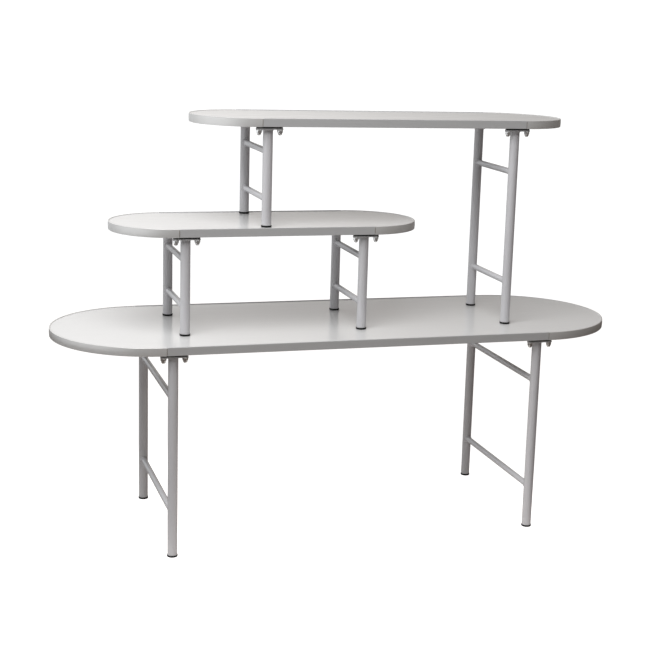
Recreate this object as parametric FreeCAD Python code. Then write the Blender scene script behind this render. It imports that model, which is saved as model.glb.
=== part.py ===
import FreeCAD, Part
import math
import os
from collections import namedtuple

# Tiered display table: three stadium-shaped tables that stand on each other.
# Millimetres. Origin on the floor under the centre of the lower table.
# +X runs along the tables, +Y to the rear, +Z up.

# ---- driving dimensions ----------------------------------------------------------------------

TIER_HEIGHT = 273.0          # from one display surface to the next
LOWER_LENGTH = 1524.0        # over the end trims
LOWER_WIDTH = 508.0          # over the edge rails
MIDDLE_LENGTH = 813.0
UPPER_LENGTH = 1016.0
RISER_WIDTH = 305.0          # middle and upper tables
MIDDLE_CENTRE_X = -206.0
UPPER_CENTRE_X = 101.0

CORE_THICKNESS = 16.0
LAMINATE_THICKNESS = 1.0

EDGE_WALL = 1.5              # rail web, rail lips and trim band
RAIL_LIP = 2.5               # how far a rail's lips reach in over the board
RAIL_CORNER = 1.0            # outside corner radius of the rail section
TRIM_LIP = 2.0               # how far an end trim's lips reach in over the board
TRIM_UPPER_LIP = 1.0         # thickness of the trim's upper lip, on the display surface
TRIM_LOWER_LIP = 2.0
TRIM_CROWN = 0.5             # bulge of the end trim's face
TRIM_CHAMFER = 0.5           # broken outside edges of the end trim
TRIM_FIT = 0.05              # between the board's round edge and the end trim
SEAM_GAP = 1.5               # between a rail and the end trim beside it
BARB_LENGTH = 8.0            # tongue of the end trim, pushed into the core
BARB_THICKNESS = 1.6
BARB_TOOTH = 0.6
GROOVE_CLEARANCE = 0.1
BARB_SETBACK = 18.0          # arc without a tongue beside each seam, where the leg bolts go in

TUBE_RADIUS = 12.5           # leg tubes
TUBE_WALL = 1.5
LEG_INSET_X = 21.0           # leg axis inside the start of the round end
LEG_INSET_Y = 30.0           # leg axis inside the rail's face
BAR_RADIUS = 8.0             # cross-bars
BAR_WALL = 1.2
SHORT_BAR_HEIGHTS = (70.0, 190.0)
LONG_BAR_HEIGHTS = (115.0, 410.0)
WELD_LEG = 2.5
WELD_GAP = 0.02              # between a bar's coped end and the tube

FLANGE_THICKNESS = 3.5       # plate on top of each leg tube
FLANGE_CORNER = 8.0
FLANGE_EDGE = 0.6            # broken edge of the plate
BOLT_RADIUS = 31.0           # from leg axis to each of three bolts
BOLT_COUNT = 3
BOLT_HOLE_RADIUS = 4.5
PAD_THICKNESS = 5.5          # rubber between plate and board
PAD_SETBACK = 1.0            # pad outline inside the plate's

STUD_RADIUS = 4.0
STUD_FIT = 0.05              # radial clearance in core and nut
STUD_IN_CORE = 11.0
STUD_IN_NUT = 9.5
NUT_ACROSS_FLATS = 13.0
NUT_HEX_HEIGHT = 6.0
NUT_FLANGE_RADIUS = 8.3
NUT_FLANGE_HEIGHT = 1.8
NUT_HEIGHT = 14.5
NUT_DOME_RADIUS = 5.4
NUT_BORE_END = 1.0           # free bore beyond the stud

FOOT_HEIGHT = 5.0            # below the tube
FOOT_RADIUS = 13.6
FOOT_ROUND = 1.6
PLUG_LENGTH = 20.0
PLUG_RADIUS = 9.6
PLUG_HOLLOW = 7.0
PLUG_RIB_COUNT = 3
PLUG_RIB_HEIGHT = 2.0
PLUG_FIT = 0.05

# ---- derived sizes ---------------------------------------------------------------------------

BOARD_THICKNESS = CORE_THICKNESS + 2 * LAMINATE_THICKNESS
TUBE_BORE = TUBE_RADIUS - TUBE_WALL

Table = namedtuple("Table", "name length width centre_x surface left_foot right_foot")

TABLES = (
    Table("lower", LOWER_LENGTH, LOWER_WIDTH, 0.0, 2 * TIER_HEIGHT, 0.0, 0.0),
    Table("middle", MIDDLE_LENGTH, RISER_WIDTH, MIDDLE_CENTRE_X, 3 * TIER_HEIGHT,
          2 * TIER_HEIGHT, 2 * TIER_HEIGHT),
    Table("upper", UPPER_LENGTH, RISER_WIDTH, UPPER_CENTRE_X, 4 * TIER_HEIGHT,
          3 * TIER_HEIGHT, 2 * TIER_HEIGHT),
)


def vec(x, y, z=0.0):
    return FreeCAD.Vector(x, y, z)


Z_AXIS = vec(0, 0, 1)


def board_radius(table):
    """Radius of the board's round ends: the rails and trims are outside it."""
    return table.width / 2 - EDGE_WALL


def half_straight(table):
    """Half the length of the straight edges; the round ends start here."""
    return (table.length - table.width) / 2


def board_bottom(table):
    return table.surface - BOARD_THICKNESS


def moved(shape, x=0.0, y=0.0, z=0.0):
    copy = shape.copy()
    copy.translate(vec(x, y, z))
    return copy


def polygon_face(points):
    return Part.Face(Part.makePolygon(points + [points[0]]))


# ---- board -----------------------------------------------------------------------------------

def stadium(table, radius, bottom, thickness):
    """Slab with straight sides and half-round ends."""
    straight = half_straight(table)
    outline = Part.Wire([
        Part.makeLine(vec(-straight, -radius), vec(straight, -radius)),
        Part.Arc(vec(straight, -radius), vec(straight + radius, 0), vec(straight, radius)).toShape(),
        Part.makeLine(vec(straight, radius), vec(-straight, radius)),
        Part.Arc(vec(-straight, radius), vec(-straight - radius, 0), vec(-straight, -radius)).toShape(),
    ])
    slab = Part.Face(outline).extrude(vec(0, 0, thickness))
    return moved(slab, table.centre_x, 0, bottom)


def stud_holes(table, depth):
    """Drillings for the hanger bolts, up from the board's underside."""
    drill = Part.makeCylinder(STUD_RADIUS + STUD_FIT, depth)
    holes = []
    for leg in leg_places(table):
        for x, y in bolt_places(leg):
            holes.append(moved(drill, x, y, board_bottom(table)))
    return holes


def end_sweep(table, side, face, setback=0.0):
    """A radial face in the XZ plane swept round the left (-1) or right (+1) end, seam to seam."""
    skipped = math.degrees(setback / board_radius(table))
    sweep = face.revolve(vec(0, 0), Z_AXIS, 180.0 - 2 * skipped)
    sweep.rotate(vec(0, 0), Z_AXIS, -90.0 * side + skipped)
    return moved(sweep, table.centre_x + side * half_straight(table), 0, 0)


def make_core(table):
    radius = board_radius(table)
    core = stadium(table, radius, board_bottom(table) + LAMINATE_THICKNESS, CORE_THICKNESS)
    middle = table.surface - BOARD_THICKNESS / 2
    half_height = BARB_THICKNESS / 2 + BARB_TOOTH + GROOVE_CLEARANCE
    depth = BARB_LENGTH + GROOVE_CLEARANCE
    groove = polygon_face([
        vec(radius - depth, 0, middle - half_height),
        vec(radius + 1, 0, middle - half_height),
        vec(radius + 1, 0, middle + half_height),
        vec(radius - depth, 0, middle + half_height),
    ])
    for side in (-1, 1):
        core = core.cut(end_sweep(table, side, groove, BARB_SETBACK - GROOVE_CLEARANCE))
    return core.cut(stud_holes(table, LAMINATE_THICKNESS + STUD_IN_CORE + STUD_FIT))


def make_top_laminate(table):
    return stadium(table, board_radius(table), table.surface - LAMINATE_THICKNESS, LAMINATE_THICKNESS)


def make_backing_laminate(table):
    sheet = stadium(table, board_radius(table), board_bottom(table), LAMINATE_THICKNESS)
    return sheet.cut(stud_holes(table, LAMINATE_THICKNESS))


# ---- edges -----------------------------------------------------------------------------------

def make_edge_rail(table, side):
    """Channel pressed over the front (-1) or rear (+1) straight edge of the board."""
    length = 2 * (half_straight(table) - SEAM_GAP)
    height = BOARD_THICKNESS + 2 * EDGE_WALL
    depth = EDGE_WALL + RAIL_LIP
    bar = Part.makeBox(length, depth, height)
    outer = [e for e in bar.Edges if e.BoundBox.YMax < 1e-6 and e.BoundBox.XLength > 1]
    bar = bar.makeFillet(RAIL_CORNER, outer)
    slot = Part.makeBox(length, RAIL_LIP, BOARD_THICKNESS, vec(0, EDGE_WALL, EDGE_WALL))
    rail = moved(bar.cut(slot), -length / 2, -table.width / 2, board_bottom(table) - EDGE_WALL)
    if side > 0:
        rail.rotate(vec(0, 0), Z_AXIS, 180)
    return moved(rail, table.centre_x, 0, 0)


def make_end_trim(table, side):
    """Moulding round one end: a crowned channel over the board's edge with a barbed tongue in the core."""
    band = end_sweep(table, side, trim_section(table))
    return band.fuse(end_sweep(table, side, tongue_section(table), BARB_SETBACK))


def trim_section(table):
    """Channel with a thick lower lip and a thin upper one, chamfered and crowned outside."""
    inner = board_radius(table)
    back = inner + TRIM_FIT
    lip = inner - TRIM_LIP
    face = inner + EDGE_WALL - TRIM_CROWN
    low = board_bottom(table)
    high = table.surface
    bottom = low - TRIM_LOWER_LIP
    top = high + TRIM_UPPER_LIP
    corners = [
        vec(face, 0, bottom + TRIM_CHAMFER),
        vec(face - TRIM_CHAMFER, 0, bottom),
        vec(lip, 0, bottom),
        vec(lip, 0, low),
        vec(back, 0, low),
        vec(back, 0, high),
        vec(lip, 0, high),
        vec(lip, 0, top),
        vec(face - TRIM_CHAMFER, 0, top),
        vec(face, 0, top - TRIM_CHAMFER),
    ]
    peak = vec(face + TRIM_CROWN, 0, (top + bottom) / 2)
    crown = Part.Arc(corners[-1], peak, corners[0]).toShape()
    return Part.Face(Part.Wire(Part.makePolygon(corners).Edges + [crown]))


def tongue_section(table):
    """Barbed tongue at half the board's thickness, from inside the trim's band to its tip in the core."""
    inner = board_radius(table)
    middle = table.surface - BOARD_THICKNESS / 2
    tip = inner - BARB_LENGTH
    tooth_pitch = BARB_LENGTH / 3
    half = BARB_THICKNESS / 2
    upper_side = [vec(tip, 0, middle + half)]
    for tooth in (1, 2):
        upper_side.append(vec(tip + tooth * tooth_pitch, 0, middle + half + BARB_TOOTH))
        upper_side.append(vec(tip + tooth * tooth_pitch, 0, middle + half))
    upper_side.append(vec(inner + EDGE_WALL / 2, 0, middle + half))
    lower_side = [vec(point.x, 0, 2 * middle - point.z) for point in reversed(upper_side)]
    return polygon_face(upper_side + lower_side)


# ---- legs ------------------------------------------------------------------------------------

Leg = namedtuple("Leg", "x y foot top outward")


def leg_places(table):
    """The four legs, left front, left rear, right front, right rear."""
    legs = []
    for side, foot in ((-1, table.left_foot), (1, table.right_foot)):
        for row in (-1, 1):
            legs.append(Leg(
                x=table.centre_x + side * (half_straight(table) - LEG_INSET_X),
                y=row * (table.width / 2 - LEG_INSET_Y),
                foot=foot,
                top=board_bottom(table) - PAD_THICKNESS,
                outward=row))
    return legs


def bolt_places(leg):
    """Centres of the plate's three bolts: two outboard of the tube and one inboard."""
    places = []
    for number in range(BOLT_COUNT):
        angle = math.radians(-90.0 * leg.outward + number * 360.0 / BOLT_COUNT)
        places.append((leg.x + BOLT_RADIUS * math.cos(angle), leg.y + BOLT_RADIUS * math.sin(angle)))
    return places


def rounded_triangle(leg, corner):
    """Outline round the three bolts: arcs of the corner radius joined by straight sides."""
    centres = [vec(x, y) for x, y in bolt_places(leg)]
    edges = []
    for number, centre in enumerate(centres):
        following = centres[(number + 1) % BOLT_COUNT]
        side = (following - centre).normalize()
        normal = vec(side.y, -side.x)
        previous = centres[number - 1]
        last_side = (centre - previous).normalize()
        last_normal = vec(last_side.y, -last_side.x)
        middle = (normal + last_normal).normalize()
        edges.append(Part.Arc(centre + last_normal * corner, centre + middle * corner,
                              centre + normal * corner).toShape())
        edges.append(Part.makeLine(centre + normal * corner, following + normal * corner))
    return Part.Wire(edges)


def drilled_plate(leg, corner, thickness, bottom):
    plate = Part.Face(rounded_triangle(leg, corner)).extrude(vec(0, 0, thickness))
    drill = Part.makeCylinder(BOLT_HOLE_RADIUS, thickness)
    plate = plate.cut([moved(drill, x, y) for x, y in bolt_places(leg)])
    return moved(plate, z=bottom)


def make_flange_plates(table):
    plates = []
    for leg in leg_places(table):
        plate = drilled_plate(leg, FLANGE_CORNER, FLANGE_THICKNESS, leg.top - FLANGE_THICKNESS)
        rim = [e for e in plate.Edges
               if e.BoundBox.ZLength < 1e-6 and not is_hole_edge(e)]
        plates.append(plate.makeChamfer(FLANGE_EDGE, rim))
    return plates


def is_hole_edge(edge):
    return isinstance(edge.Curve, Part.Circle) and abs(edge.Curve.Radius - BOLT_HOLE_RADIUS) < 1e-6


def make_pads(table):
    return [drilled_plate(leg, FLANGE_CORNER - PAD_SETBACK, PAD_THICKNESS, leg.top)
            for leg in leg_places(table)]


def make_leg_tube(leg):
    """Hollow tube from its foot to the flange plate, with the weld round its top."""
    bottom = leg.foot + FOOT_HEIGHT
    height = leg.top - FLANGE_THICKNESS - bottom
    outline = [
        vec(TUBE_BORE, 0, 0),
        vec(TUBE_RADIUS, 0, 0),
        vec(TUBE_RADIUS, 0, height - WELD_LEG),
        vec(TUBE_RADIUS + WELD_LEG, 0, height),
        vec(TUBE_BORE, 0, height),
    ]
    tube = polygon_face(outline).revolve(vec(0, 0), Z_AXIS, 360)
    return moved(tube, leg.x, leg.y, bottom)


def make_cross_bar(front, rear, height):
    """Tube from leg to leg, coped to the legs' round sides, with its welds."""
    span = rear.y - front.y
    reach = TUBE_RADIUS + WELD_LEG
    outline = [
        vec(BAR_RADIUS - BAR_WALL, 0, 0),
        vec(BAR_RADIUS + reach, 0, 0),
        vec(BAR_RADIUS, 0, reach),
        vec(BAR_RADIUS, 0, span - reach),
        vec(BAR_RADIUS + reach, 0, span),
        vec(BAR_RADIUS - BAR_WALL, 0, span),
    ]
    bar = polygon_face(outline).revolve(vec(0, 0), Z_AXIS, 360)
    bar.rotate(vec(0, 0), vec(1, 0, 0), -90)
    bar = moved(bar, front.x, front.y, front.foot + height)
    keep_length = span + 2 * reach
    keep = Part.makeCylinder(BAR_RADIUS + WELD_LEG, keep_length,
                             vec(front.x, front.y - reach, front.foot + height), vec(0, 1, 0))
    bar = bar.common(keep)
    for leg in (front, rear):
        cope = Part.makeCylinder(TUBE_RADIUS + WELD_GAP, 8 * BAR_RADIUS,
                                 vec(leg.x, leg.y, leg.foot + height - 4 * BAR_RADIUS))
        bar = bar.cut(cope)
    return largest_solid(bar)


def largest_solid(shape):
    return max(shape.Solids, key=lambda solid: solid.Volume)


def make_feet(table):
    """Plastic feet: a rounded disc below each tube and a hollow ribbed plug inside it."""
    rib_pitch = (PLUG_LENGTH - FOOT_HEIGHT) / PLUG_RIB_COUNT
    disc = Part.makeCylinder(FOOT_RADIUS, FOOT_HEIGHT)
    sole = [e for e in disc.Edges if e.BoundBox.ZMax < 1e-6]
    foot = disc.makeFillet(FOOT_ROUND, sole)
    foot = foot.fuse(Part.makeCylinder(PLUG_RADIUS, PLUG_LENGTH, vec(0, 0, FOOT_HEIGHT)))
    for number in range(PLUG_RIB_COUNT):
        at = FOOT_HEIGHT + (number + 1) * rib_pitch - PLUG_RIB_HEIGHT
        rib = Part.makeCone(PLUG_RADIUS, TUBE_BORE - PLUG_FIT, PLUG_RIB_HEIGHT, vec(0, 0, at))
        foot = foot.fuse(rib)
    foot = foot.cut(Part.makeCylinder(PLUG_HOLLOW, PLUG_LENGTH, vec(0, 0, FOOT_HEIGHT)))
    foot = foot.removeSplitter()
    return [moved(foot, leg.x, leg.y, leg.foot) for leg in leg_places(table)]


# ---- fasteners -------------------------------------------------------------------------------

def make_hanger_bolts(table):
    length = STUD_IN_CORE + LAMINATE_THICKNESS + PAD_THICKNESS + FLANGE_THICKNESS + STUD_IN_NUT
    stud = Part.makeCylinder(STUD_RADIUS, length)
    start = board_bottom(table) + LAMINATE_THICKNESS + STUD_IN_CORE - length
    return [moved(stud, x, y, start) for leg in leg_places(table) for x, y in bolt_places(leg)]


def make_cap_nuts(table):
    """Flanged hexagon nuts with a domed cap, hanging under the plates."""
    across_corners = NUT_ACROSS_FLATS / math.cos(math.radians(30))
    corners = []
    for number in range(7):
        angle = math.radians(60 * number)
        corners.append(vec(across_corners / 2 * math.cos(angle), across_corners / 2 * math.sin(angle)))
    hexagon = Part.Face(Part.makePolygon(corners)).extrude(vec(0, 0, -NUT_HEX_HEIGHT - NUT_FLANGE_HEIGHT))
    hexagon = hexagon.common(Part.makeCone(across_corners / 2 + 1, NUT_ACROSS_FLATS / 2,
                                           NUT_HEX_HEIGHT + NUT_FLANGE_HEIGHT, vec(0, 0), vec(0, 0, -1)))
    flange = Part.makeCone(NUT_FLANGE_RADIUS, NUT_ACROSS_FLATS / 2, NUT_FLANGE_HEIGHT,
                           vec(0, 0), vec(0, 0, -1))
    dome_centre = NUT_HEIGHT - NUT_DOME_RADIUS
    neck = Part.makeCylinder(NUT_DOME_RADIUS, dome_centre, vec(0, 0), vec(0, 0, -1))
    dome = Part.makeSphere(NUT_DOME_RADIUS, vec(0, 0, -dome_centre))
    nut = hexagon.fuse([flange, neck, dome]).removeSplitter()
    bore = Part.makeCylinder(STUD_RADIUS + STUD_FIT, STUD_IN_NUT + NUT_BORE_END, vec(0, 0), vec(0, 0, -1))
    nut = nut.cut(bore)
    under = board_bottom(table) - PAD_THICKNESS - FLANGE_THICKNESS
    return [moved(nut, x, y, under) for leg in leg_places(table) for x, y in bolt_places(leg)]


# ---- files -----------------------------------------------------------------------------------

def write(name, solids):
    shape = solids[0] if len(solids) == 1 else Part.makeCompound(solids)
    shape.exportStep(os.path.join("parts", name + ".step"))


def write_table(table):
    write(table.name + "_core", [make_core(table)])
    write(table.name + "_top_laminate", [make_top_laminate(table)])
    write(table.name + "_backing_laminate", [make_backing_laminate(table)])
    write(table.name + "_front_edge_rail", [make_edge_rail(table, -1)])
    write(table.name + "_rear_edge_rail", [make_edge_rail(table, 1)])
    write(table.name + "_left_end_trim", [make_end_trim(table, -1)])
    write(table.name + "_right_end_trim", [make_end_trim(table, 1)])
    write(table.name + "_flange_plates", make_flange_plates(table))
    write(table.name + "_flange_pads", make_pads(table))
    write(table.name + "_hanger_bolts", make_hanger_bolts(table))
    write(table.name + "_cap_nuts", make_cap_nuts(table))
    write(table.name + "_feet", make_feet(table))


def write_leg_frames(table):
    legs = leg_places(table)
    for side, (front, rear) in (("left", legs[:2]), ("right", legs[2:])):
        frame = table.name + "_" + side
        write(frame + "_front_leg_tube", [make_leg_tube(front)])
        write(frame + "_rear_leg_tube", [make_leg_tube(rear)])
        is_short = front.top - front.foot < TIER_HEIGHT
        heights = SHORT_BAR_HEIGHTS if is_short else LONG_BAR_HEIGHTS
        write(frame + "_lower_cross_bar", [make_cross_bar(front, rear, heights[0])])
        write(frame + "_upper_cross_bar", [make_cross_bar(front, rear, heights[1])])


os.makedirs("parts", exist_ok=True)
for display_table in TABLES:
    write_table(display_table)
    write_leg_frames(display_table)
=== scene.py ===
import math

import bmesh
import bpy
from bpy.props import FloatProperty, FloatVectorProperty, IntProperty, PointerProperty
from mathutils import Matrix, Vector


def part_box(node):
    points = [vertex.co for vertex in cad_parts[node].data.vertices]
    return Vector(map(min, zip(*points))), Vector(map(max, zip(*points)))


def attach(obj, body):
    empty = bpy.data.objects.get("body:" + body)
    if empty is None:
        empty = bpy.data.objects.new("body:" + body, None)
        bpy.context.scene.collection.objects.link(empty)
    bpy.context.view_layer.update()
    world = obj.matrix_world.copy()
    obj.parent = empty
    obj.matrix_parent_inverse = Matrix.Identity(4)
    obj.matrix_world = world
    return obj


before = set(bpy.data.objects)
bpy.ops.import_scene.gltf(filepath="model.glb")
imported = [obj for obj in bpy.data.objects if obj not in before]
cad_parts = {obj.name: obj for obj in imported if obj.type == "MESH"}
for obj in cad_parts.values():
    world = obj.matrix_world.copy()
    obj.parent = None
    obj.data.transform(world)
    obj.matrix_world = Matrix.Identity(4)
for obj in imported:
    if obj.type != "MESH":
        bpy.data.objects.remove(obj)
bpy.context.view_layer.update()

bl_info = {
    "name": "Tiered Display Table",
    "version": (1, 0, 0),
    "blender": (4, 5, 0),
    "location": "View3D > Sidebar > Display Table",
    "description": "Finishes, weld beads and studio for a tiered display table",
    "category": "Object",
}

TABLES = ("lower", "middle", "upper")
SIDES = ("left", "right")
ROWS = ("front", "rear")
BAR_LEVELS = ("lower", "upper")

WHITE = (1.0, 1.0, 1.0)
COATING_IOR = 1.5
# Nearly all values of a noise texture lie between these two.
NOISE_LOW = 0.3
NOISE_HIGH = 0.7

STEPS_PER_RIPPLE = 3
MERGE_DISTANCE = 1e-7

# The floor lies this far below the soles, so that the two faces don't fight.
FLOOR_DROP = 0.0005
FLOOR_SIDES = 96
FLOOR_ROUGHNESS = 0.8
SENSOR_WIDTH = 36.0
CAMERA_REACH = 100.0

# Where one part of the room passes softly into the next, as X (to the right), Y (to the rear)
# and Z (up) of the direction from the table.
LEFT_WALL_X = (-0.9, -0.3)
RIGHT_WALL_X = (0.2, 0.6)
WALL_TOP_Z = (0.10, 0.30)
REAR_RIGHT_X = (0.12, 0.42)
REAR_RISE_Z = (0.0, 0.22)
REAR_WALL_Y = (0.2, 0.8)
CEILING_X = (-0.5, -0.1)
OVERHEAD_Z = (0.35, 0.55)
WARM_LIGHT_X = (-0.2, 0.5)


# ---- settings --------------------------------------------------------------------------------

def colour(name, description, default):
    return FloatVectorProperty(
        name=name, description=description, default=default,
        subtype="COLOR", size=3, min=0.0, max=1.0)


def length(name, description, default):
    return FloatProperty(
        name=name, description=description, default=default,
        min=0.0, subtype="DISTANCE", unit="LENGTH")


def share(name, description, default):
    return FloatProperty(
        name=name, description=description, default=default,
        min=0.0, max=1.0, subtype="FACTOR")


def amount(name, description, default):
    return FloatProperty(name=name, description=description, default=default, min=0.0)


def point(name, description, default):
    return FloatVectorProperty(
        name=name, description=description, default=default,
        size=3, subtype="TRANSLATION", unit="LENGTH")


def angle(name, description, degrees):
    return FloatProperty(
        name=name, description=description, default=math.radians(degrees),
        subtype="ANGLE", unit="ROTATION")


class BoardFinish(bpy.types.PropertyGroup):
    laminate_colour: colour(
        "Laminate", "Gloss laminate on top of each board", (0.757, 0.757, 0.754))
    laminate_roughness: share("Laminate roughness", "Roughness of the clean laminate", 0.18)
    laminate_wear: share("Laminate wear", "Roughness that wiping and handling add", 0.08)
    speck_colour: colour("Specks", "Tiny dark specks in the laminate", (0.30, 0.29, 0.27))
    ripple_size: length("Ripple size", "Distance between the soft ripples in the laminate", 0.022)
    ripple_depth: length("Ripple depth", "Height of those ripples", 0.00005)
    polish_size: length("Polish size", "Size of the finest unevenness in the gloss", 0.0022)
    polish_depth: length("Polish depth", "Height of that unevenness", 0.000004)
    backing_colour: colour("Backing", "Matt laminate under each board", (0.50, 0.495, 0.48))
    backing_roughness: share("Backing roughness", "Least roughness of the backing", 0.55)
    backing_depth: length("Backing grain depth", "Height of the grain on the backing", 0.00003)
    # The core's brown is darker than plain fibreboard so that the narrow seams between rails and
    # trims look dark. It is part fibreboard colour and part painted shade in the seams.
    seam_shaded_core_colour: colour("Core", "Raw fibreboard between the laminates", (0.20, 0.145, 0.10))
    core_roughness: share("Core roughness", "Roughness of the raw fibreboard", 0.92)
    fibre_size: length("Fibre size", "Size of the fibres on the core's cut edge", 0.0009)
    fibre_depth: length("Fibre depth", "Height of those fibres", 0.0004)


class EdgeFinish(bpy.types.PropertyGroup):
    rail_colour: colour(
        "Rail", "Satin metal rail along the straight edges", (0.633, 0.636, 0.641))
    rail_roughness: share("Rail roughness", "Roughness of the satin metal", 0.30)
    trim_colour: colour("End trim", "Flexible moulding round the ends", (0.67, 0.664, 0.655))
    trim_roughness: share("End trim roughness", "Roughness of the moulding", 0.30)
    metallic: share("Metallic", "How much the rail and the moulding shine as metal does", 0.4)
    wave_size: length("Wave size", "Distance between the soft waves in the moulding", 0.03)
    wave_depth: length("Wave depth", "Height of those waves", 0.00004)
    line_pitch: length(
        "Die line pitch", "Height between the faint lines that run along the rail", 0.004)
    line_depth: length("Die line depth", "Depth of those lines", 0.000006)


class FrameFinish(bpy.types.PropertyGroup):
    paint_colour: colour(
        "Paint", "Light grey powder coat on the leg frames", (0.580, 0.573, 0.590))
    # The flange plates get a darker grey than the leg frames. This is painted shade for the shade
    # under the board's edge, where the plates hang.
    shaded_plate_colour: colour(
        "Plate paint and shade", "Darker grey powder coat on the flange plates", (0.44, 0.44, 0.445))
    paint_roughness: share("Paint roughness", "Roughness of the powder coat", 0.20)
    peel_size: length("Orange peel size", "Size of the powder coat's soft bumps", 0.0016)
    peel_depth: length("Orange peel depth", "Height of those bumps", 0.00003)
    scuff_height: length("Scuff height", "How far up the scuffs on a leg reach", 0.04)
    tube_radius: length("Leg tube radius", "Outside radius of the leg tubes", 0.0125)
    bar_radius: length("Cross-bar radius", "Outside radius of the cross-bars", 0.008)
    bead_leg: length("Weld leg", "Reach of a weld bead along each of the two metals", 0.0029)
    ripple_pitch: length(
        "Weld ripple pitch", "Distance between the ripples of a weld bead", 0.0022)
    ripple_depth: length("Weld ripple depth", "Height of a ripple over the bead", 0.0002)
    bead_segments: IntProperty(
        name="Bead segments", description="Steps across a weld bead", default=4, min=2, max=12)


class FastenerFinish(bpy.types.PropertyGroup):
    zinc_colour: colour("Zinc", "Bright zinc on the cap nuts and bolts", (0.80, 0.80, 0.80))
    zinc_roughness: share("Zinc roughness", "Roughness of the zinc", 0.13)
    crystal_size: length("Zinc crystal size", "Size of the cloudy patches in the zinc", 0.0025)
    turning_depth: length("Turning depth", "Height of the fine marks on the zinc", 0.000002)
    rubber_colour: colour("Rubber", "Pads between plates and board", (0.012, 0.012, 0.012))
    rubber_bloom: colour("Rubber bloom", "Pale film on the rubber", (0.05, 0.05, 0.048))
    rubber_roughness: share("Rubber roughness", "Roughness of the pads", 0.75)
    rubber_depth: length("Rubber grain depth", "Height of the grain on the rubber", 0.00008)
    plastic_colour: colour("Foot plastic", "Moulded feet", (0.008, 0.008, 0.0085))
    plastic_dust: colour("Foot dust", "Dust on the feet", (0.05, 0.048, 0.045))
    plastic_roughness: share("Foot roughness", "Roughness of the clean feet", 0.45)
    plastic_gloss: share("Foot gloss", "Strength of the reflections on the feet", 0.3)
    plastic_depth: length("Foot grain depth", "Height of the grain on the feet", 0.00001)


class StudioSettings(bpy.types.PropertyGroup):
    camera_place: point("Camera place", "Where the camera stands", (-1.1073, -3.5795, 1.3586))
    camera_yaw: angle(
        "Camera yaw", "Turn of the camera from looking straight to the rear", -18.466)
    camera_pitch: angle("Camera pitch", "Tilt of the camera above the horizon", -12.076)
    camera_roll: angle("Camera roll", "Roll of the camera about its line of sight", 1.967)
    focal_length: FloatProperty(
        name="Focal length", description="Focal length in millimetres for a 36 mm wide sensor",
        default=78.78, min=1.0, subtype="DISTANCE_CAMERA")
    shift_right: FloatProperty(
        name="Shift right", description="Sideways shift of the lens, as a share of the picture",
        default=-0.0672)
    shift_up: FloatProperty(
        name="Shift up", description="Upward shift of the lens, as a share of the picture",
        default=-0.0135)
    floor_radius: length("Floor radius", "Radius of the round floor", 3.3)
    paper_colour: colour("Paper", "Pale paper that the table stands on", (0.98, 0.925, 0.88))
    paper_radius: length(
        "Paper radius", "How far the pale paper reaches from the table's centre", 0.58)
    paper_fade: length(
        "Paper fade", "Width of the soft change from paper to room floor", 0.25)
    room_floor_colour: colour(
        "Room floor", "Warm floor of the room beyond the paper", (0.14, 0.112, 0.092))
    backdrop: amount("Backdrop", "Brightness of the white that the camera sees around it", 1.1)
    cool_light: colour(
        "Cool light", "Colour of the light from the left of the room", (0.965, 0.983, 1.0))
    warm_light: colour(
        "Warm light", "Colour of the light from the right of the room", (1.0, 0.92, 0.86))
    wall_left: amount("Left wall", "Brightness of the room on the left", 1.18)
    wall_right: amount("Right wall", "Brightness of the room on the right", 0.18)
    wall_front: amount("Front wall", "Brightness of the room in front of the table", 0.22)
    wall_top_share: share(
        "Wall top share", "Brightness high up on those three walls, as a share", 0.10)
    rear_left: amount("Rear wall, left", "Brightness behind the table on the left", 1.15)
    rear_right: amount("Rear wall, right", "Brightness behind the table on the right", 0.42)
    rear_low_share: share(
        "Rear low share", "Brightness of the rear wall near the floor, as a share", 0.60)
    skylight: amount("Skylight", "Brightness of the high window on the left", 0.85)
    ceiling: amount("Ceiling", "Brightness of the room overhead", 0.30)
    softbox_power: amount("Softbox power", "Power of the large softbox in watts", 54.0)
    softbox_place: point("Softbox place", "Where the softbox hangs", (-0.85, -1.25, 2.75))
    softbox_target: point("Softbox target", "What the softbox is aimed at", (0.0, 0.0, 0.6))
    softbox_width: length("Softbox width", "Width of the square softbox", 2.0)


SETTINGS = {
    "display_board": BoardFinish,
    "display_edges": EdgeFinish,
    "display_frames": FrameFinish,
    "display_fasteners": FastenerFinish,
    "display_studio": StudioSettings,
}


# ---- shader helpers --------------------------------------------------------------------------

def put(value, socket):
    """Feeds a socket: links it if the value is a socket too, and sets it otherwise."""
    if isinstance(value, bpy.types.NodeSocket):
        socket.id_data.links.new(value, socket)
    elif socket.type == "RGBA":
        socket.default_value = (*value, 1.0)
    else:
        socket.default_value = value


def add_node(tree, kind, inputs, **settings):
    """A shader node with its settings; each input is a value or the socket that feeds it."""
    node = tree.nodes.new(kind)
    for name, value in settings.items():
        setattr(node, name, value)
    for name, value in inputs.items():
        put(value, node.inputs[name])
    return node


def feed(shader, **sockets):
    """Links or sets sockets of the shader; underscores in a name stand for spaces."""
    for name, value in sockets.items():
        put(value, shader.inputs[name.replace("_", " ")])


def new_material(name):
    """A new material; returns it, its Principled shader and the object's own coordinates."""
    material = bpy.data.materials.new(name)
    material.use_nodes = True
    tree = material.node_tree
    tree.nodes.clear()
    shader = tree.nodes.new("ShaderNodeBsdfPrincipled")
    output = tree.nodes.new("ShaderNodeOutputMaterial")
    tree.links.new(shader.outputs["BSDF"], output.inputs["Surface"])
    place = tree.nodes.new("ShaderNodeTexCoord").outputs["Object"]
    return material, shader, place


def squeezed(place, x=1.0, y=1.0, z=1.0):
    """Coordinates on which a pattern is that many times finer along each axis."""
    node = add_node(place.id_data, "ShaderNodeMapping", {"Vector": place, "Scale": (x, y, z)})
    return node.outputs["Vector"]


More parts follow.
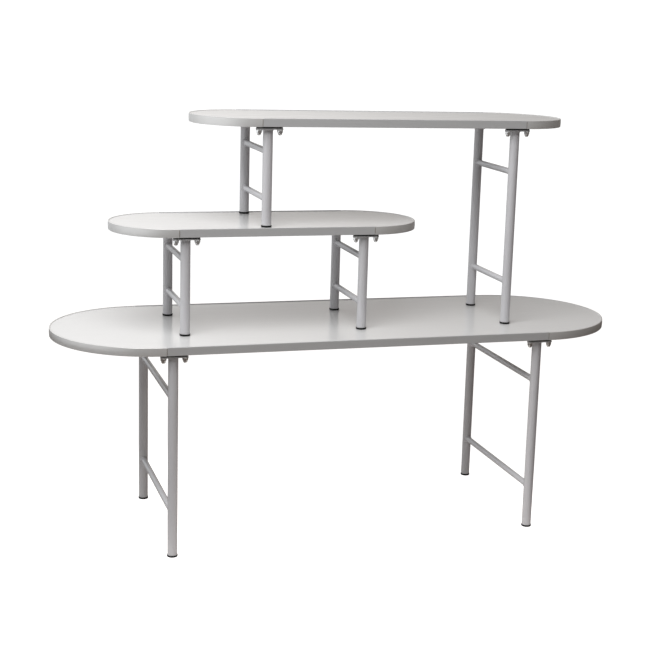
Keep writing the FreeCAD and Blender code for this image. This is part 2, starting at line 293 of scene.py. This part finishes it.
def axes(place):
    """The X, Y and Z of a vector socket, as sockets."""
    parts = add_node(place.id_data, "ShaderNodeSeparateXYZ", {"Vector": place}).outputs
    return parts["X"], parts["Y"], parts["Z"]


def noise(place, size, detail=3.0, roughness=0.55):
    """Noise between 0 and 1 with features of about the given size in metres."""
    node = add_node(place.id_data, "ShaderNodeTexNoise", {
        "Vector": place, "Scale": 1.0 / size, "Detail": detail, "Roughness": roughness})
    return node.outputs["Fac"]


def ramp(value, start, end, at_start=0.0, at_end=1.0):
    """Goes evenly from at_start to at_end while the value goes from start to end."""
    node = add_node(value.id_data, "ShaderNodeMapRange", {
        "Value": value, "From Min": start, "From Max": end,
        "To Min": at_start, "To Max": at_end}, clamp=True)
    return node.outputs["Result"]


def uneven(mask, roughness, smoother, rougher):
    """A roughness that the mask makes a little smoother or rougher from place to place."""
    return ramp(mask, NOISE_LOW, NOISE_HIGH, roughness - smoother, roughness + rougher)


def multiply(first, second):
    node = add_node(first.id_data, "ShaderNodeMath", {0: first, 1: second}, operation="MULTIPLY")
    return node.outputs["Value"]


def mix_numbers(factor, first, second):
    node = add_node(factor.id_data, "ShaderNodeMix", {"Factor": factor, "A": first, "B": second})
    return node.outputs["Result"]


def mix_colours(factor, first, second):
    node = add_node(factor.id_data, "ShaderNodeMix", {
        "Factor": factor, "A": first, "B": second}, data_type="RGBA")
    return node.outputs["Result"]


def tinted(base, factor):
    return tuple(min(1.0, channel * factor) for channel in base)


def mottled(mask, base, low, high):
    """The base colour times low where the mask is 0, and times high where it is 1."""
    return mix_colours(mask, tinted(base, low), tinted(base, high))


def bump(height, depth, under=None):
    inputs = {"Height": height, "Distance": depth}
    if under is not None:
        inputs["Normal"] = under
    return add_node(height.id_data, "ShaderNodeBump", inputs).outputs["Normal"]


def camera_ray(tree):
    """1 for what the camera itself sees, and 0 in light and reflections."""
    return tree.nodes.new("ShaderNodeLightPath").outputs["Is Camera Ray"]


# ---- finishes --------------------------------------------------------------------------------

def gloss_laminate(finish):
    """Clouds and specks in the colour, wiping marks and prints in the gloss, and soft ripples."""
    material, shader, place = new_material("gloss white laminate")
    cloud = noise(place, size=0.35, detail=2.0)
    speck = noise(place, size=0.0012, detail=1.0)
    base = mottled(cloud, finish.laminate_colour, low=0.985, high=1.0)
    base = mix_colours(ramp(speck, 0.70, 0.78, at_end=0.05), base, finish.speck_colour)
    wiped = noise(squeezed(place, y=5.0), size=0.10, detail=5.0)
    prints = noise(place, size=0.018, detail=4.0)
    marks = multiply(ramp(wiped, 0.45, 0.75), ramp(prints, 0.40, 0.70, at_start=0.3))
    rough = ramp(marks, 0.0, 1.0, at_start=finish.laminate_roughness,
                 at_end=finish.laminate_roughness + finish.laminate_wear)
    ripples = bump(noise(place, finish.ripple_size, detail=1.0), finish.ripple_depth)
    normal = bump(noise(place, finish.polish_size, detail=2.0), finish.polish_depth, ripples)
    feed(shader, Base_Color=base, Roughness=rough, Normal=normal, IOR=COATING_IOR)
    return material


def matt_backing(finish):
    material, shader, place = new_material("matt backing laminate")
    cloud = noise(place, size=0.09, detail=4.0)
    grain = noise(place, size=0.0011)
    feed(shader, Base_Color=mottled(cloud, finish.backing_colour, low=0.93, high=1.0),
         Roughness=uneven(grain, finish.backing_roughness, smoother=0.0, rougher=0.15),
         Normal=bump(grain, finish.backing_depth))
    return material


def raw_fibreboard(finish):
    material, shader, place = new_material("raw fibreboard")
    fibres = noise(squeezed(place, z=2.5), finish.fibre_size, detail=6.0, roughness=0.7)
    clumps = noise(place, size=0.006)
    # The darker core brown also carries painted shade for the seams.
    base = mottled(fibres, finish.seam_shaded_core_colour, low=0.55, high=1.25)
    base = mix_colours(ramp(clumps, 0.35, 0.75, at_end=0.5), base,
                       tinted(finish.seam_shaded_core_colour, 0.7))
    feed(shader, Base_Color=base, Roughness=finish.core_roughness,
         Normal=bump(fibres, finish.fibre_depth))
    return material


def die_lines(place, finish):
    """Fine lines that an extrusion die leaves along the profile, fading in and out slowly."""
    height = axes(place)[2]
    only_height = add_node(place.id_data, "ShaderNodeCombineXYZ", {"Z": height})
    lines = noise(only_height.outputs["Vector"], finish.line_pitch, detail=2.0)
    drift = noise(squeezed(place, x=0.02, y=0.02), finish.line_pitch, detail=1.0)
    return multiply(lines, drift)


def satin_rail(finish):
    material, shader, place = new_material("satin metal rail")
    lines = die_lines(place, finish)
    smear = noise(squeezed(place, z=3.0), size=0.12, detail=1.0)
    feed(shader, Base_Color=mottled(lines, finish.rail_colour, low=0.98, high=1.03),
         Metallic=finish.metallic,
         Roughness=uneven(smear, finish.rail_roughness, smoother=0.02, rougher=0.03),
         Normal=bump(lines, finish.line_depth))
    return material


def moulded_trim(finish):
    material, shader, place = new_material("moulded end trim")
    wave = noise(place, finish.wave_size, detail=0.0)
    smear = noise(squeezed(place, z=2.0), size=0.09, detail=1.0)
    feed(shader, Base_Color=mottled(smear, finish.trim_colour, low=0.98, high=1.015),
         Metallic=finish.metallic,
         Roughness=uneven(smear, finish.trim_roughness, smoother=0.02, rougher=0.03),
         Normal=bump(wave, finish.wave_depth))
    return material


def powder_coat(name, finish, paint, foot_level):
    """Powder coat of one colour, scuffed just above the level of the foot."""
    material, shader, place = new_material(name)
    cloud = noise(place, size=0.05)
    chips = noise(squeezed(place, z=0.5), size=0.004, detail=6.0, roughness=0.7)
    near_foot = ramp(axes(place)[2], foot_level, foot_level + finish.scuff_height,
                     at_start=1.0, at_end=0.0)
    scuffed = multiply(ramp(chips, 0.56, 0.70), near_foot)
    base = mottled(cloud, paint, low=0.96, high=1.03)
    base = mix_colours(scuffed, base, tinted(paint, 0.72))
    peel = noise(place, finish.peel_size, detail=1.5)
    feed(shader, Base_Color=base,
         Roughness=uneven(cloud, finish.paint_roughness, smoother=0.04, rougher=0.07),
         Normal=bump(peel, finish.peel_depth), IOR=COATING_IOR)
    return material


def bright_zinc(finish):
    material, shader, place = new_material("bright zinc")
    crystals = add_node(place.id_data, "ShaderNodeTexVoronoi", {
        "Vector": place, "Scale": 1.0 / finish.crystal_size}).outputs["Distance"]
    turned = noise(squeezed(place, x=0.3, y=0.3), size=0.0004, detail=2.0)
    rough = ramp(crystals, 0.0, 0.8, at_start=finish.zinc_roughness - 0.02,
                 at_end=finish.zinc_roughness + 0.04)
    feed(shader, Base_Color=mottled(crystals, finish.zinc_colour, low=1.0, high=0.93),
         Metallic=1.0, Roughness=rough, Normal=bump(turned, finish.turning_depth))
    return material


def black_rubber(finish):
    material, shader, place = new_material("black rubber")
    bloom = noise(place, size=0.012)
    grain = noise(place, size=0.0008, detail=4.0)
    base = mix_colours(ramp(bloom, 0.45, 0.8, at_end=0.5), finish.rubber_colour,
                       finish.rubber_bloom)
    feed(shader, Base_Color=base, Roughness=finish.rubber_roughness,
         Normal=bump(grain, finish.rubber_depth))
    return material


def moulded_plastic(finish):
    material, shader, place = new_material("black moulded plastic")
    dust = noise(place, size=0.007, detail=5.0)
    grain = noise(place, size=0.0009, detail=2.0)
    base = mix_colours(ramp(dust, 0.5, 0.8, at_end=0.25), finish.plastic_colour,
                       finish.plastic_dust)
    feed(shader, Base_Color=base, Specular_IOR_Level=finish.plastic_gloss,
         Roughness=uneven(dust, finish.plastic_roughness, smoother=0.0, rougher=0.15),
         Normal=bump(grain, finish.plastic_depth))
    return material


def paint_nodes(ending, material):
    """Gives a finish to every CAD node whose name has that ending."""
    found = [node for name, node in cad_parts.items() if name.endswith(ending)]
    if not found:
        raise RuntimeError("no node ends in " + ending)
    for node in found:
        node.data.materials.clear()
        node.data.materials.append(material)


def add_object(name, data):
    """A new object of the scene at the origin."""
    thing = bpy.data.objects.new(name, data)
    bpy.context.scene.collection.objects.link(thing)
    return thing


# ---- weld beads ------------------------------------------------------------------------------

def centre_of(node):
    low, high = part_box(node)
    return (low + high) / 2


def bead_ring(tube_radius, finish):
    """A rippled quarter-round bead round a tube that stands along +Z on a metal face at z = 0."""
    ring = bmesh.new()
    root = Vector((tube_radius, 0.0, 0.0))
    corner = ring.verts.new(root + Vector((-finish.ripple_depth, 0.0, -finish.ripple_depth)))
    toe = ring.verts.new(root + Vector((finish.bead_leg, 0.0, 0.0)))
    arc = bmesh.ops.spin(ring, geom=[toe], cent=root, axis=(0.0, -1.0, 0.0), angle=math.pi / 2,
                         steps=finish.bead_segments, use_merge=False, use_duplicate=False)
    top = [part for part in arc["geom_last"] if isinstance(part, bmesh.types.BMVert)][0]
    ring.edges.new((corner, toe))
    ring.edges.new((top, corner))
    ripples = round(math.tau * (tube_radius + finish.bead_leg / 2) / finish.ripple_pitch)
    bmesh.ops.spin(ring, geom=ring.verts[:] + ring.edges[:], cent=(0.0, 0.0, 0.0),
                   axis=(0.0, 0.0, 1.0), angle=math.tau, steps=STEPS_PER_RIPPLE * ripples,
                   use_merge=True, use_duplicate=False)
    bmesh.ops.remove_doubles(ring, verts=ring.verts, dist=MERGE_DISTANCE)
    for vertex in ring.verts:
        around = math.atan2(vertex.co.y, vertex.co.x)
        foot = Vector((math.cos(around), math.sin(around), 0.0)) * tube_radius
        from_root = vertex.co - foot
        on_bead_face = from_root.length > finish.bead_leg / 2
        if on_bead_face:
            swell = finish.ripple_depth * (0.5 + 0.5 * math.cos(ripples * around))
            vertex.co += from_root.normalized() * swell
    bmesh.ops.recalc_face_normals(ring, faces=ring.faces)
    return ring


def wrap_on_tube(ring, radius):
    """Bends a bead on the plane z = 0 onto a tube of that radius along the bead's Y axis."""
    for vertex in ring.verts:
        reach = radius + vertex.co.z
        vertex.co.z = math.sqrt(reach * reach - vertex.co.x * vertex.co.x) - radius


def frame_beads(table, side, finish):
    """Beads of one leg frame, at the top of each leg and both ends of each cross-bar.

    Each is a bmesh and the matrix that puts it in place.
    """
    beads = []
    stem = table + "_" + side + "_"
    for row, inward in zip(ROWS, (1.0, -1.0)):
        leg = stem + row + "_leg_tube"
        middle = centre_of(leg)
        leg_top = Matrix.Translation((middle.x, middle.y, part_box(leg)[1].z))
        upside_down = leg_top @ Matrix.Rotation(math.pi, 4, "X")
        beads.append((bead_ring(finish.tube_radius, finish), upside_down))
        for level in BAR_LEVELS:
            bar = centre_of(stem + level + "_cross_bar")
            ring = bead_ring(finish.bar_radius, finish)
            wrap_on_tube(ring, finish.tube_radius)
            face = Matrix.Translation((bar.x, middle.y + inward * finish.tube_radius, bar.z))
            beads.append((ring, face @ Matrix.Rotation(-inward * math.pi / 2, 4, "X")))
    return beads


def add_beads(name, beads, body, material):
    """One piece made of all beads of a leg frame."""
    whole = bmesh.new()
    for ring, place in beads:
        bead = bpy.data.meshes.new(name + "_part")
        ring.transform(place)
        ring.to_mesh(bead)
        ring.free()
        whole.from_mesh(bead)
        bpy.data.meshes.remove(bead)
    mesh = bpy.data.meshes.new(name)
    whole.to_mesh(mesh)
    whole.free()
    mesh.shade_smooth()
    mesh.materials.append(material)
    piece = add_object(name, mesh)
    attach(piece, body)


# ---- studio ----------------------------------------------------------------------------------

def lay_floor(studio):
    """Pale paper on a warm floor, which the camera itself sees as plain white."""
    shape = bmesh.new()
    bmesh.ops.create_circle(shape, cap_ends=True, cap_tris=True, segments=FLOOR_SIDES,
                            radius=studio.floor_radius)
    bmesh.ops.translate(shape, verts=shape.verts, vec=(0.0, 0.0, -FLOOR_DROP))
    mesh = bpy.data.meshes.new("floor")
    shape.to_mesh(mesh)
    shape.free()
    material, shader, place = new_material("pale paper on a warm floor")
    cloud = noise(place, size=0.8, detail=2.0)
    paper = mottled(cloud, studio.paper_colour, low=0.98, high=1.0)
    away = add_node(place.id_data, "ShaderNodeVectorMath", {0: place}, operation="LENGTH")
    beyond = ramp(away.outputs["Value"], studio.paper_radius,
                  studio.paper_radius + studio.paper_fade)
    feed(shader, Base_Color=mix_colours(beyond, paper, studio.room_floor_colour),
         Roughness=FLOOR_ROUGHNESS, Emission_Color=WHITE,
         Emission_Strength=camera_ray(place.id_data))
    mesh.materials.append(material)
    add_object("floor", mesh)


def light_room(studio):
    """A room that is bright on the left and at the rear left; the camera sees plain white."""
    world = bpy.data.worlds.new("white room")
    bpy.context.scene.world = world
    world.use_nodes = True
    tree = world.node_tree
    tree.nodes.clear()
    x, y, z = axes(tree.nodes.new("ShaderNodeTexCoord").outputs["Generated"])

    leftward = ramp(x, *LEFT_WALL_X, at_start=1.0, at_end=0.0)
    walls = mix_numbers(leftward, studio.wall_front, studio.wall_left)
    walls = mix_numbers(ramp(x, *RIGHT_WALL_X), walls, studio.wall_right)
    walls = multiply(walls, ramp(z, *WALL_TOP_Z, at_start=1.0, at_end=studio.wall_top_share))
    rear = multiply(ramp(x, *REAR_RIGHT_X, at_start=studio.rear_left, at_end=studio.rear_right),
                    ramp(z, *REAR_RISE_Z, at_start=studio.rear_low_share))
    walls = mix_numbers(ramp(y, *REAR_WALL_Y), walls, rear)
    overhead = ramp(x, *CEILING_X, at_start=studio.skylight, at_end=studio.ceiling)
    brightness = mix_numbers(ramp(z, *OVERHEAD_Z), walls, overhead)
    light = mix_colours(ramp(x, *WARM_LIGHT_X), studio.cool_light, studio.warm_light)

    room = add_node(tree, "ShaderNodeBackground", {"Color": light, "Strength": brightness})
    white = add_node(tree, "ShaderNodeBackground", {"Color": WHITE, "Strength": studio.backdrop})
    seen = add_node(tree, "ShaderNodeMixShader", {
        0: camera_ray(tree), 1: room.outputs["Background"], 2: white.outputs["Background"]})
    add_node(tree, "ShaderNodeOutputWorld", {"Surface": seen.outputs["Shader"]})


def hang_softbox(studio):
    lamp = bpy.data.lights.new("softbox", "AREA")
    lamp.shape = "SQUARE"
    lamp.size = studio.softbox_width
    lamp.energy = studio.softbox_power
    softbox = add_object("softbox", lamp)
    softbox.location = studio.softbox_place
    aim = Vector(studio.softbox_target) - softbox.location
    softbox.rotation_euler = aim.to_track_quat("-Z", "Y").to_euler()


def place_camera(studio):
    lens = bpy.data.cameras.new("camera")
    lens.sensor_width = SENSOR_WIDTH
    lens.lens = studio.focal_length
    lens.shift_x = studio.shift_right
    lens.shift_y = studio.shift_up
    lens.clip_end = CAMERA_REACH
    camera = add_object("camera", lens)
    turn = (Matrix.Rotation(studio.camera_yaw, 4, "Z")
            @ Matrix.Rotation(math.pi / 2 + studio.camera_pitch, 4, "X")
            @ Matrix.Rotation(studio.camera_roll, 4, "Z"))
    camera.matrix_world = Matrix.Translation(studio.camera_place) @ turn
    bpy.context.scene.camera = camera


# ---- operators -------------------------------------------------------------------------------

class FinishBoards(bpy.types.Operator):
    """Gloss laminate, matt backing and raw fibreboard on the three boards"""
    bl_idname = "display_table.finish_boards"
    bl_label = "Finish boards"

    def execute(self, context):
        finish = context.scene.display_board
        paint_nodes("_top_laminate", gloss_laminate(finish))
        paint_nodes("_backing_laminate", matt_backing(finish))
        paint_nodes("_core", raw_fibreboard(finish))
        return {"FINISHED"}


class FinishEdges(bpy.types.Operator):
    """Satin rails along the straight edges and moulded trim round the ends"""
    bl_idname = "display_table.finish_edges"
    bl_label = "Finish edges"

    def execute(self, context):
        finish = context.scene.display_edges
        paint_nodes("_edge_rail", satin_rail(finish))
        paint_nodes("_end_trim", moulded_trim(finish))
        return {"FINISHED"}


class FinishLegFrames(bpy.types.Operator):
    """Powder coat on the legs, cross-bars and flange plates, and weld beads where they meet"""
    bl_idname = "display_table.finish_leg_frames"
    bl_label = "Finish leg frames"

    def execute(self, context):
        finish = context.scene.display_frames
        for table in TABLES:
            # A foot level of 0 leaves the plates clean, because all of them are far above it.
            # The plates take that darker grey, which is painted shade under the board and not a
            # second paint.
            plates = powder_coat("powder coat on " + table + " plates", finish,
                                 finish.shaded_plate_colour, foot_level=0.0)
            paint_nodes(table + "_flange_plates", plates)
            for side in SIDES:
                stem = table + "_" + side
                coat = powder_coat("powder coat on " + table + " " + side + " frame", finish,
                                   finish.paint_colour,
                                   foot_level=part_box(stem + "_front_leg_tube")[0].z)
                for row in ROWS:
                    paint_nodes(stem + "_" + row + "_leg_tube", coat)
                for level in BAR_LEVELS:
                    paint_nodes(stem + "_" + level + "_cross_bar", coat)
                beads = frame_beads(table, side, finish)
                add_beads(stem + "_weld_beads", beads, table + "_table", coat)
        return {"FINISHED"}


class FinishFasteners(bpy.types.Operator):
    """Bright zinc on the bolts and cap nuts, rubber on the pads and plastic on the feet"""
    bl_idname = "display_table.finish_fasteners"
    bl_label = "Finish fasteners, pads and feet"

    def execute(self, context):
        finish = context.scene.display_fasteners
        zinc = bright_zinc(finish)
        paint_nodes("_cap_nuts", zinc)
        paint_nodes("_hanger_bolts", zinc)
        paint_nodes("_flange_pads", black_rubber(finish))
        paint_nodes("_feet", moulded_plastic(finish))
        return {"FINISHED"}


class BuildStudio(bpy.types.Operator):
    """Pale floor, soft light and camera"""
    bl_idname = "display_table.build_studio"
    bl_label = "Build studio"

    def execute(self, context):
        studio = context.scene.display_studio
        lay_floor(studio)
        light_room(studio)
        hang_softbox(studio)
        place_camera(studio)
        context.scene.view_settings.view_transform = "Standard"
        return {"FINISHED"}


OPERATORS = (FinishBoards, FinishEdges, FinishLegFrames, FinishFasteners, BuildStudio)


class DisplayTablePanel(bpy.types.Panel):
    """Sidebar panel with the steps in order and their settings"""
    bl_idname = "VIEW3D_PT_display_table"
    bl_label = "Display Table"
    bl_space_type = "VIEW_3D"
    bl_region_type = "UI"
    bl_category = "Display Table"

    def draw(self, context):
        for step in OPERATORS:
            self.layout.operator(step.bl_idname)
        for name, group in SETTINGS.items():
            box = self.layout.box()
            for setting in group.__annotations__:
                box.prop(getattr(context.scene, name), setting)


def register():
    for name, group in SETTINGS.items():
        bpy.utils.register_class(group)
        setattr(bpy.types.Scene, name, PointerProperty(type=group))
    for step in OPERATORS:
        bpy.utils.register_class(step)
    bpy.utils.register_class(DisplayTablePanel)


def unregister():
    bpy.utils.unregister_class(DisplayTablePanel)
    for step in reversed(OPERATORS):
        bpy.utils.unregister_class(step)
    for name, group in SETTINGS.items():
        delattr(bpy.types.Scene, name)
        bpy.utils.unregister_class(group)


def main():
    register()
    bpy.ops.display_table.finish_boards()
    bpy.ops.display_table.finish_edges()
    bpy.ops.display_table.finish_leg_frames()
    bpy.ops.display_table.finish_fasteners()
    bpy.ops.display_table.build_studio()


if __name__ == "__main__":
    main()
